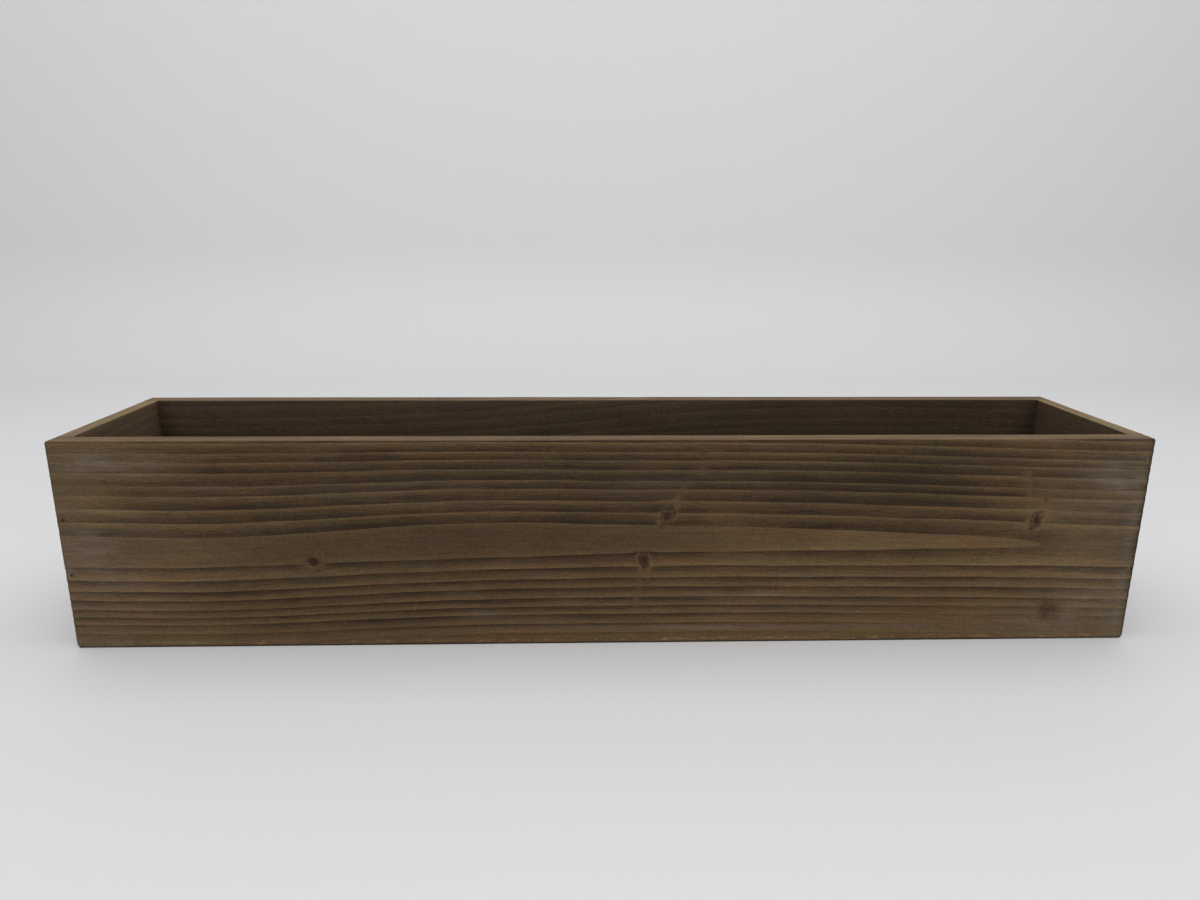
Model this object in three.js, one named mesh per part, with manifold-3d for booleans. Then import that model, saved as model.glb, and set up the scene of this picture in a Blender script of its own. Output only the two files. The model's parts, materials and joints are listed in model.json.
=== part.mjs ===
// A long wooden window box: five fir boards made into an open-topped trough. The front
// and back boards run the full length and cover the ends of the two end boards, glued
// and nailed there with four brads to a corner. The floor is a panel caught in a groove
// that runs round the inside of the four walls, a little above the ground, and it is
// bored with a row of drain holes.
//
// Millimetres, +Z up. The origin is on the ground under the middle of the box, the
// length runs along X and the front faces -Y.

import * as THREE from "three";
import { mergeVertices, toCreasedNormals } from "three/addons/utils/BufferGeometryUtils.js";
import Module from "manifold-3d";

// ---------------------------------------------------------------- driving sizes

const LENGTH = 762; // outside, 30 in
const DEPTH = 152.4; // outside, front to back, 6 in
const HEIGHT = 152.4; // outside, 6 in
const WALL = 14; // thickness of the front and back boards
const END_WALL = 12; // thickness of the end boards
const GLUE_LINE = 0.3; // between an end board and the long board it butts on

const FLOOR_THICKNESS = 9;
const FLOOR_RECESS = 4; // from the walls' lower edges up to the floor's underside
const GROOVE_DEPTH = 5; // how far the floor's groove is cut into each wall
const GROOVE_CLEARANCE = 0.3; // between the floor and its groove, on every side

const DRAIN_HOLES = 4;
const DRAIN_DIAMETER = 12;
const DRAIN_SPACING = 180;

const BRAD_LENGTH = 30; // head included
const BRAD_SHANK = 1.2; // diameter, 18 gauge
const BRAD_HEAD = 2.2; // diameter
const BRAD_HEAD_HEIGHT = 0.8;
const BRAD_POINT = 2.4; // length of the tapered point
const BRAD_SET = 0.8; // how deep the nail punch leaves the head under the face
const BRAD_CLEARANCE = 0.3; // between a brad and its hole
const BRADS_PER_CORNER = 4;
const BRAD_INSET = 5; // from the end of the long board to its row of brads
const BRAD_MARGIN = 15; // from the board's upper and lower edges to the row's ends

const RIM_EASE = 0.6; // radius sanded on the long boards' upper edges and the inner rim
const FOOT_EASE = 1; // radius on the long boards' lower outside edges
const UPRIGHT_EASE = 2; // radius on the box's four upright corners
const TOP_CORNER = 2; // radius of the box's upper corners, seen from the front
const FOOT_CORNER = 3.2; // radius of its lower corners, more worn than the upper

const EDGE_FLATS = 6; // flats in the quarter circle of a sanded edge
const BRAD_SIDES = 12;
const DRAIN_SIDES = 32;
const OVERSHOOT = 2; // how far a cutter runs past the face it opens

// ---------------------------------------------------------------- worked-out sizes

const innerLength = LENGTH - 2 * END_WALL;
const innerDepth = DEPTH - 2 * WALL;
const endBoardLength = innerDepth - 2 * GLUE_LINE;
const grooveLow = FLOOR_RECESS - GROOVE_CLEARANCE;
const grooveHigh = FLOOR_RECESS + FLOOR_THICKNESS + GROOVE_CLEARANCE;
const floorTongue = GROOVE_DEPTH - GROOVE_CLEARANCE; // what lies inside the groove
const bradPoint = BRAD_SET + BRAD_LENGTH; // from the outside face to the point

// ---------------------------------------------------------------- finishes

const finish = (color, roughness, metalness) =>
  new THREE.MeshStandardMaterial({ color, roughness, metalness });

const brushedFir = finish(0x5b4a35, 0.78, 0);
const shadedFir = finish(0x4a3b2b, 0.85, 0);
const darkSteel = finish(0x3b3633, 0.55, 0.9);

// ---------------------------------------------------------------- cutting and joining

const wasm = await Module();
wasm.setup();

// A closed three.js geometry as a solid that can be cut.
function solid(geometry) {
  const bare = geometry.clone();
  bare.deleteAttribute("normal");
  bare.deleteAttribute("uv");
  const merged = mergeVertices(bare, 1e-4);
  return new wasm.Manifold(
    new wasm.Mesh({
      numProp: 3,
      vertProperties: merged.attributes.position.array,
      triVerts: new Uint32Array(merged.index.array),
    }),
  );
}

// A solid back as a geometry, with crisp arrises and smooth rounds.
function geometryOf(body) {
  const { vertProperties, triVerts } = body.getMesh();
  const geometry = new THREE.BufferGeometry();
  geometry.setAttribute("position", new THREE.BufferAttribute(vertProperties, 3));
  geometry.setIndex(new THREE.BufferAttribute(triVerts, 1));
  return toCreasedNormals(geometry, Math.PI / 5);
}

const cut = (body, cutters) => cutters.reduce((rest, cutter) => rest.subtract(cutter), body);

// A straight extrusion of a section drawn in its own x and y, centred on its length.
function extruded(section, length) {
  const bar = new THREE.ExtrudeGeometry(section, {
    depth: length,
    bevelEnabled: false,
    curveSegments: EDGE_FLATS / 2, // an arc is cut into twice as many flats
  });
  return bar.translate(0, 0, -length / 2);
}

// What sanding takes off an arris that lies along X through the origin, with the wood on
// its +Y and +Z sides: the corner of a square, outside its quarter circle.
function arrisCutter(length, radius) {
  const corner = new THREE.Shape();
  corner.moveTo(-OVERSHOOT, -OVERSHOOT);
  corner.lineTo(radius, -OVERSHOOT);
  corner.lineTo(radius, 0);
  corner.absarc(radius, radius, radius, -Math.PI / 2, -Math.PI, true);
  corner.lineTo(-OVERSHOOT, radius);
  corner.closePath();
  // The section's x and y turn to Y and Z, and the bar's length to X.
  return extruded(corner, length).rotateX(Math.PI / 2).rotateZ(Math.PI / 2);
}

// The rounds of a wall that stands along X with its outside face on y = 0: its lower
// outside edge, its upper outside edge and its upper inside edge.
function wallRounds({ length, openLength, thickness, foot, rim }) {
  const full = length + 2 * OVERSHOOT;
  const lower = arrisCutter(full, foot);
  const upper = arrisCutter(full, rim).rotateX(-Math.PI / 2).translate(0, 0, HEIGHT);
  const inner = arrisCutter(openLength, RIM_EASE).rotateX(Math.PI);
  return [lower, upper, inner.translate(0, thickness, HEIGHT)].map(solid);
}

// The groove for the floor in the inside face of such a wall.
function floorGroove(length, thickness) {
  const depth = GROOVE_DEPTH + OVERSHOOT;
  const box = new THREE.BoxGeometry(length, depth, grooveHigh - grooveLow);
  box.translate(0, thickness + OVERSHOOT - depth / 2, (grooveLow + grooveHigh) / 2);
  return solid(box);
}

// ---------------------------------------------------------------- brads

// A form turned round the +Y axis from [radius, y] steps, with its ends on the axis.
function turned(steps) {
  const first = [0, steps[0][1]];
  const last = [0, steps[steps.length - 1][1]];
  const outline = [first, ...steps, last].map(([r, y]) => new THREE.Vector2(r, y));
  return new THREE.LatheGeometry(outline, BRAD_SIDES);
}

// The hole that a brad is driven in, from a face on y = 0: a punch mark that takes the
// head, then a narrow hole for the shank.
function bradHole() {
  const wide = BRAD_HEAD / 2 + BRAD_CLEARANCE;
  const narrow = BRAD_SHANK / 2 + BRAD_CLEARANCE;
  const seat = BRAD_SET + BRAD_HEAD_HEIGHT + BRAD_CLEARANCE;
  return turned([
    [wide, -OVERSHOOT],
    [wide, seat],
    [narrow, seat],
    [narrow, bradPoint + BRAD_CLEARANCE],
  ]);
}

// A brad, driven along +Y from a face on y = 0 and set just under it.
function brad() {
  const shank = BRAD_SHANK / 2;
  const neck = BRAD_SET + BRAD_HEAD_HEIGHT;
  return turned([
    [BRAD_HEAD / 2, BRAD_SET],
    [BRAD_HEAD / 2, neck],
    [shank, neck],
    [shank, bradPoint - BRAD_POINT],
    [shank / 4, bradPoint],
  ]);
}

// Heights of the brads in one corner, evenly spaced between the two margins.
function bradHeights() {
  const step = (HEIGHT - 2 * BRAD_MARGIN) / (BRADS_PER_CORNER - 1);
  return Array.from({ length: BRADS_PER_CORNER }, (_, i) => BRAD_MARGIN + i * step);
}

// ---------------------------------------------------------------- boards

// A board's outline from the front, with its upper and lower corners rounded.
function roundedOutline(length, height) {
  const half = length / 2;
  const low = FOOT_CORNER;
  const high = height - TOP_CORNER;
  const outline = new THREE.Shape();
  outline.absarc(half - FOOT_CORNER, low, FOOT_CORNER, -Math.PI / 2, 0);
  outline.absarc(half - TOP_CORNER, high, TOP_CORNER, 0, Math.PI / 2);
  outline.absarc(-half + TOP_CORNER, high, TOP_CORNER, Math.PI / 2, Math.PI);
  outline.absarc(-half + FOOT_CORNER, low, FOOT_CORNER, Math.PI, 1.5 * Math.PI);
  outline.closePath();
  return outline;
}

// The front or back board, standing along X with its outside face on y = 0.
function longBoard() {
  const blank = extruded(roundedOutline(LENGTH, HEIGHT), WALL).rotateX(Math.PI / 2);
  blank.translate(0, WALL / 2, 0);
  const rounds = wallRounds({
    length: LENGTH,
    openLength: innerLength,
    thickness: WALL,
    foot: FOOT_EASE,
    rim: RIM_EASE,
  });
  const uprights = [-1, 1].map((side) => {
    const upright = arrisCutter(HEIGHT + 2 * OVERSHOOT, UPRIGHT_EASE);
    upright.rotateY((-side * Math.PI) / 2);
    return solid(upright.translate((side * LENGTH) / 2, 0, HEIGHT / 2));
  });
  const groove = floorGroove(innerLength + 2 * GROOVE_DEPTH, WALL);
  const holes = [-1, 1].flatMap((side) =>
    bradHeights().map((z) => solid(bradHole().translate(side * (LENGTH / 2 - BRAD_INSET), 0, z))),
  );
  return cut(solid(blank), [...rounds, ...uprights, groove, ...holes]);
}

// An end board, standing along X with its outside face on y = 0 until it is turned to
// its end of the box. The brads of both long boards reach into its end grain.
function endBoard() {
  const blank = new THREE.BoxGeometry(endBoardLength, END_WALL, HEIGHT);
  blank.translate(0, END_WALL / 2, HEIGHT / 2);
  const rounds = wallRounds({
    length: endBoardLength,
    openLength: endBoardLength + 2 * OVERSHOOT,
    thickness: END_WALL,
    foot: FOOT_CORNER,
    rim: TOP_CORNER,
  });
  const groove = floorGroove(endBoardLength + 2 * OVERSHOOT, END_WALL);
  const holes = [-1, 1].flatMap((side) =>
    bradHeights().map((z) => {
      const hole = bradHole().rotateZ((side * Math.PI) / 2);
      return solid(hole.translate((side * DEPTH) / 2, BRAD_INSET, z));
    }),
  );
  return cut(solid(blank), [...rounds, groove, ...holes]);
}

// The floor, with its edges in the grooves and its drain holes along the middle.
function floorBoard() {
  const halfLength = innerLength / 2 + floorTongue;
  const halfDepth = innerDepth / 2 + floorTongue;
  const outline = new THREE.Shape();
  outline.moveTo(-halfLength, -halfDepth);
  outline.lineTo(halfLength, -halfDepth);
  outline.lineTo(halfLength, halfDepth);
  outline.lineTo(-halfLength, halfDepth);
  outline.closePath();
  outline.holes = Array.from({ length: DRAIN_HOLES }, (_, i) => {
    const x = (i - (DRAIN_HOLES - 1) / 2) * DRAIN_SPACING;
    return new THREE.Path().absarc(x, 0, DRAIN_DIAMETER / 2, 0, 2 * Math.PI, true);
  });
  const panel = new THREE.ExtrudeGeometry(outline, {
    depth: FLOOR_THICKNESS,
    bevelEnabled: false,
    curveSegments: DRAIN_SIDES / 2,
  });
  return panel.translate(0, 0, FLOOR_RECESS);
}

// ---------------------------------------------------------------- the window box

const windowBox = new THREE.Group();

function addPiece(name, geometry, material, parent = windowBox) {
  const piece = new THREE.Mesh(geometry, material);
  piece.name = name;
  parent.add(piece);
  return piece;
}

// A long board with its eight brads, turned to its own side of the box.
function addLongSide(side, turn) {
  const group = new THREE.Group();
  addPiece(`${side}_board`, geometryOf(longBoard()), brushedFir, group);
  for (const end of [-1, 1]) {
    // Seen from the side that the board faces, its ends are on the left and right.
    const hand = end < 0 ? "left" : "right";
    bradHeights().forEach((z, i) => {
      const name = `${side}_brad_${hand}_${i + 1}`;
      const nail = addPiece(name, brad(), darkSteel, group);
      nail.position.set(end * (LENGTH / 2 - BRAD_INSET), 0, z);
    });
  }
  // The outside face is on y = 0 of the group, so the group stands on that face.
  const stand = new THREE.Group();
  group.position.y = -DEPTH / 2;
  stand.rotation.z = turn;
  stand.add(group);
  windowBox.add(stand);
}

addLongSide("front", 0);
addLongSide("back", Math.PI);

for (const [name, turn] of [["left_end_board", -Math.PI / 2], ["right_end_board", Math.PI / 2]]) {
  const stand = new THREE.Group();
  stand.rotation.z = turn;
  const board = addPiece(name, geometryOf(endBoard()), brushedFir, stand);
  board.position.y = -LENGTH / 2;
  windowBox.add(stand);
}

addPiece("floor_board", floorBoard(), shadedFir);

export default windowBox;
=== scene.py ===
"""The finish of a long wooden window box: five brushed and stained fir boards, nailed at
the corners, on a pale studio sweep. Metres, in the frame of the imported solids: +Z up, the
length along X, the front facing -Y. Sizes on the wood itself are in millimetres."""

import json
import math

import bpy
import numpy as np
from mathutils import Matrix, Vector


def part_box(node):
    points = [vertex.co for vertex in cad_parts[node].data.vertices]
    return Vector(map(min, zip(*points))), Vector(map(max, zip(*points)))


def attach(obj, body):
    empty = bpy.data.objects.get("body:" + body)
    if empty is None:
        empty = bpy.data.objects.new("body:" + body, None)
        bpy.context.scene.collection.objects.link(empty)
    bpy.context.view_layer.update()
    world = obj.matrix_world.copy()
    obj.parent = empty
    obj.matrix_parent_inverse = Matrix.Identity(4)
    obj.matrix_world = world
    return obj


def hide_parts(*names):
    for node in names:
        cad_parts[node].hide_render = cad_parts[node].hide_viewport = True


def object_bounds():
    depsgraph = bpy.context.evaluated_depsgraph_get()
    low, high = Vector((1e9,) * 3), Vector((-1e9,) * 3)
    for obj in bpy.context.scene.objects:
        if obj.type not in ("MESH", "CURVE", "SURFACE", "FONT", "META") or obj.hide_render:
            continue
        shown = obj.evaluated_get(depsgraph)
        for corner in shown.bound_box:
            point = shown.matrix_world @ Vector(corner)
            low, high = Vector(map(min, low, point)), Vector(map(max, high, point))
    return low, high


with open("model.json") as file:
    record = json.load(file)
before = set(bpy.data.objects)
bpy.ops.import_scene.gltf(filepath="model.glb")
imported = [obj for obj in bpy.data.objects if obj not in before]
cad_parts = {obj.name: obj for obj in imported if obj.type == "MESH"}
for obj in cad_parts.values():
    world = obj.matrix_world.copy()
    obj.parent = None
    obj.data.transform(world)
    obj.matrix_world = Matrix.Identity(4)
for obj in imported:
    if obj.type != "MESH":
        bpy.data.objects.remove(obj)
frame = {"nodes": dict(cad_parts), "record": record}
solid_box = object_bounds()

MM = 0.001

# ---------------------------------------------------------------- the box, from its solids


def size_of(node):
    low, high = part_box(node)
    return (high - low) / MM


def middle_of(node):
    low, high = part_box(node)
    return (high + low) / 2 / MM


LENGTH, WALL, HEIGHT = size_of("front_board")
END_WALL = size_of("left_end_board").x
DEPTH = (solid_box[1][1] - solid_box[0][1]) / MM
INNER_LENGTH = LENGTH - 2 * END_WALL
INNER_DEPTH = DEPTH - 2 * WALL
GLUE = 0.05  # what is left of each joint once the glue has squeezed out

FLOOR_LENGTH, FLOOR_DEPTH, FLOOR_THICKNESS = size_of("floor_board")
FLOOR_MIDDLE = middle_of("floor_board").z
FLOOR_TOP = FLOOR_MIDDLE + FLOOR_THICKNESS / 2
GROOVE_CLEARANCE = 0.3  # round the floor in its groove
GROOVE_DEPTH = (FLOOR_LENGTH - INNER_LENGTH) / 2 + GROOVE_CLEARANCE

BRAD_HEAD, BRAD_LENGTH, _ = size_of("front_brad_left_1")
BRAD_SHANK = 1.2
BRAD_HEAD_HEIGHT = 0.8
BRAD_POINT = 2.4
BRAD_CLEARANCE = 0.3
BRAD_INSET = LENGTH / 2 + middle_of("front_brad_left_1").x
BRAD_LOWEST = middle_of("front_brad_left_1").z
BRAD_RISE = middle_of("front_brad_left_2").z - BRAD_LOWEST
BRAD_SET = DEPTH / 2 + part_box("front_brad_left_1")[0].y / MM
BRADS = sorted(node for node in frame["nodes"] if "_brad_" in node)
BRADS_PER_CORNER = len(BRADS) // 4

OPENINGS = frame["record"]["physics"]["openings"]
DRAINS = [opening["box_m"] for opening in OPENINGS if opening["name"].startswith("drain")]
DRAIN_SPACING = (DRAINS[1][0][0] - DRAINS[0][0][0]) / MM
DRAIN_DIAMETER = 12

RIM_EASE = 0.6
FOOT_EASE = 1.0
UPRIGHT_EASE = 2.0
TOP_CORNER = 2.0
FOOT_CORNER = 3.2

# ---------------------------------------------------------------- camera and studio

FRAME_WIDTH = 1200  # pixels of the photograph
FOCAL = 855.4  # the lens, in pixels of that frame
CAMERA_PLACE = Vector((-25.0, -642.6, 294.4)) * MM
CAMERA_YAW = math.radians(1.78)  # turned towards +X
CAMERA_PITCH = math.radians(14.73)  # looking down
CAMERA_ROLL = math.radians(0.284)


def place_camera():
    cos_pitch = math.cos(CAMERA_PITCH)
    ahead = Vector((
        math.sin(CAMERA_YAW) * cos_pitch,
        math.cos(CAMERA_YAW) * cos_pitch,
        -math.sin(CAMERA_PITCH),
    ))
    level = Vector((math.cos(CAMERA_YAW), -math.sin(CAMERA_YAW), 0))
    upright = level.cross(ahead)
    right = level * math.cos(CAMERA_ROLL) + upright * math.sin(CAMERA_ROLL)
    up = right.cross(ahead)
    data = bpy.data.cameras.new("camera")
    data.sensor_width = 36
    data.lens = FOCAL / FRAME_WIDTH * data.sensor_width
    data.clip_start = 0.01
    camera = bpy.data.objects.new("camera", data)
    bpy.context.scene.collection.objects.link(camera)
    turn = Matrix((right, up, -ahead)).transposed()
    camera.matrix_world = Matrix.Translation(CAMERA_PLACE) @ turn.to_4x4()
    bpy.context.scene.camera = camera


def link_mesh(name, points, faces):
    mesh = bpy.data.meshes.new(name)
    mesh.from_pydata(np.asarray(points).tolist(), [], faces)
    mesh.update()
    piece = bpy.data.objects.new(name, mesh)
    bpy.context.scene.collection.objects.link(piece)
    return piece


def smooth(piece):
    piece.data.polygons.foreach_set("use_smooth", [True] * len(piece.data.polygons))


def build_sweep():
    """A pale floor that curves up into a backdrop."""
    near, back, bend, top, half_width = -1.6, 1.25, 0.25, 2.4, 3.0
    arc = [math.radians(a) for a in range(0, 91, 6)]
    profile = [(near, 0.0)]
    profile += [(back - bend + bend * math.sin(a), bend - bend * math.cos(a)) for a in arc]
    profile.append((back, top))
    points = [(x, y, z) for y, z in profile for x in (-half_width, half_width)]
    strips = range(len(profile) - 1)
    faces = [(2 * i, 2 * i + 1, 2 * i + 3, 2 * i + 2) for i in strips]
    sweep = link_mesh("sweep", points, faces)
    smooth(sweep)
    paper = bpy.data.materials.new("pale_paper")
    paper.use_nodes = True
    shader = paper.node_tree.nodes["Principled BSDF"]
    shader.inputs["Base Color"].default_value = (0.775, 0.775, 0.78, 1)
    shader.inputs["Roughness"].default_value = 0.6
    sweep.data.materials.append(paper)


def soft_light(name, place, target, width, depth, watts):
    data = bpy.data.lights.new(name, "AREA")
    data.shape = "RECTANGLE"
    data.size = width
    data.size_y = depth
    data.energy = watts
    light = bpy.data.objects.new(name, data)
    light.location = place
    light.rotation_euler = (Vector(target) - Vector(place)).to_track_quat("-Z", "Y").to_euler()
    bpy.context.scene.collection.objects.link(light)


def light_studio():
    soft_light("ceiling_light", (0, -0.4, 1.9), (0, -0.4, 0), 4.2, 2.6, 38)
    soft_light("backdrop_light", (0, -0.1, 1.5), (0, 1.25, 0.9), 4.0, 0.6, 5.8)
    soft_light("front_fill", (0, -1.7, 0.6), (0, 0, 0.02), 2.2, 0.8, 11.8)
    world = bpy.data.worlds.new("room")
    world.use_nodes = True
    background = world.node_tree.nodes["Background"]
    background.inputs["Color"].default_value = (0.86, 0.87, 0.9, 1)
    background.inputs["Strength"].default_value = 0.235
    bpy.context.scene.world = world
    bpy.context.scene.view_settings.view_transform = "Standard"


# ---------------------------------------------------------------- how the wood grew


def through(x, places, values):
    """A smooth curve through a few given values, flat past both ends."""
    places = np.asarray(places, float)
    values = np.asarray(values, float)
    slopes = np.gradient(values, places)
    slopes[[0, -1]] = 0
    x = np.clip(x, places[0], places[-1])
    i = np.clip(np.searchsorted(places, x, side="right") - 1, 0, len(places) - 2)
    span = places[i + 1] - places[i]
    t = (x - places[i]) / span
    start = (1 + 2 * t) * (1 - t) ** 2 * values[i] + t * (1 - t) ** 2 * span * slopes[i]
    end = t * t * (3 - 2 * t) * values[i + 1] + t * t * (t - 1) * span * slopes[i + 1]
    return start + end


def ease(low, high, x):
    """0 below low, 1 above high, and smooth between."""
    t = np.clip((x - low) / (high - low), 0, 1)
    return t * t * (3 - 2 * t)


def soft_spots(x, z, spots):
    """Soft-edged ovals added up, each an (x, z, half length, half height, strength)."""
    total = np.zeros(np.shape(x))
    for cx, cz, half_x, half_z, strength in spots:
        total += strength * np.exp(-(((x - cx) / half_x) ** 2) - ((z - cz) / half_z) ** 2)
    return total


class Grain:
    """The growth rings of one board. x runs along the board from its middle, z up it and
    depth in from its outside face, all in millimetres. Rings are numbered outwards from
    the heart of the board, and a whole number is the hard edge where a ring ends."""

    def __init__(self, heart, rings_up, rings_down, drift, pith, seed=1, **marks):
        self.heart = heart  # height of the middle of the widest ring
        self.rings_up = [0.0, *rings_up]  # distances from the heart to each ring's edge
        self.rings_down = [0.0, *rings_down]
        self.drift = drift  # how far the rings drift up or down along the board
        self.pith = pith  # how the tree's taper opens and closes the rings
        self.seed = seed
        self.pith_depth = 40.0  # from the outside face in to the tree's middle
        self.from_others = 40.0 * seed  # so that no two boards share their fibres
        self.knots = marks.get("knots", ())  # x, z, half width, half height, lean, halo
        self.tracks = marks.get("tracks", ())  # x, z up to x, z, and half width
        self.spots = {kind: marks.get(kind, ()) for kind in ("calm", "stain", "smudge", "bloom")}

    def bulge(self, x, z):
        """How far a knot pushes the rings that flow round it."""
        push = np.zeros(np.shape(x))
        for cx, cz, half_x, half_z, _, _ in self.knots:
            above = (z - cz) / half_z
            near = np.exp(-(((x - cx) / (2.2 * half_x)) ** 2) - (above / 1.6) ** 2)
            push += 1.5 * above * near
        return push

    def straightened(self, x, z):
        """The height that this bit of ring has at the middle of the board."""
        level = z
        for _ in range(4):
            level = z - self.drift(x, level)
        wave = np.sin(x / 41 + self.seed) * np.sin(level / 23 + 2 * self.seed)
        ripple = np.sin(x / 13 + level / 7 + 3 * self.seed)
        return level + 0.25 * wave + 0.1 * ripple - self.bulge(x, z)

    def ring_number(self, x, z, depth):
        across = self.straightened(x, z) - self.heart
        inside = self.pith_depth - np.maximum(depth - 1.0, 0)
        spread = self.pith(x) + inside**2 - self.pith_depth**2
        reach = np.sqrt(np.maximum(across**2 + spread, 0))
        down, up = (self.count(reach, edges) for edges in (self.rings_down, self.rings_up))
        return down + (up - down) * ease(-6, 6, across)

    @staticmethod
    def count(reach, edges):
        """Past the last listed edge the rings go on at its spacing."""
        last = edges[-1] - edges[-2]
        longer = np.append(edges, edges[-1] + last * np.arange(1, 30))
        return np.interp(reach, longer, np.arange(len(longer)))

    def knot_distance(self, x, z):
        """How far from the nearest knot, in that knot's own radii."""
        nearest = np.full(np.shape(x), 9.0)
        for cx, cz, half_x, half_z, lean, _ in self.knots:
            tilt = math.radians(lean)
            dx = (x - cx) * math.cos(tilt) - (z - cz) * math.sin(tilt)
            dz = (x - cx) * math.sin(tilt) + (z - cz) * math.cos(tilt)
            nearest = np.minimum(nearest, np.hypot(dx / half_x, dz / half_z))
        return nearest

    def calm(self, x, z):
        """1 where knots and their tracks leave the rings pale and level, else 0."""
        still = soft_spots(x, z, self.spots["calm"])
        for cx, cz, half_x, half_z, lean, halo in self.knots:
            lean_out = math.tan(math.radians(lean)) * (z - cz)
            away = np.hypot((x - cx - lean_out) / (half_x + halo), (z - cz) / (half_z + 1))
            still = np.maximum(still, 1 - ease(0.75, 1.5, away))
        for x0, z0, x1, z1, half in self.tracks:
            t = np.clip((z - z0) / (z1 - z0), 0, 1)
            beyond = np.maximum(np.maximum(z0 - z, z - z1), 0)
            away = np.hypot((x - x0 - t * (x1 - x0)) / half, beyond / 3)
            still = np.maximum(still, 0.75 * (1 - ease(0.2, 1.6, away)))
        return np.minimum(still, 1)


def front_drift(x, level):
    """The rings sink towards both ends, least at the upper edge on the left."""
    left = through(
        x,
        [-381, -340, -290, -245, -200, -150, -100, -50, 0],
        [6.8, 7.7, 8.6, 7.5, 5.1, 2.3, 0.3, -0.3, 0],
    )
    right = through(x, [60, 110, 160, 210, 260, 310, 381], [0, 0.6, 1.6, 3, 4.4, 6.2, 8.5])
    left_share = through(level, [15, 45, 80, 115, 148], [0.7, 1, 1, 0.5, 0])
    right_share = through(level, [15, 60, 100, 148], [0.8, 0.7, 1, 0.8])
    return -left * left_share - right * right_share


def front_pith(x):
    return through(
        x,
        [-381, -250, -180, -110, -50, 0, 60, 150, 230, 285, 310, 381],
        [-3, 8, -21, -47, -41, -2, 19, 52, 84, 101, 117, 127],
    )


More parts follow.
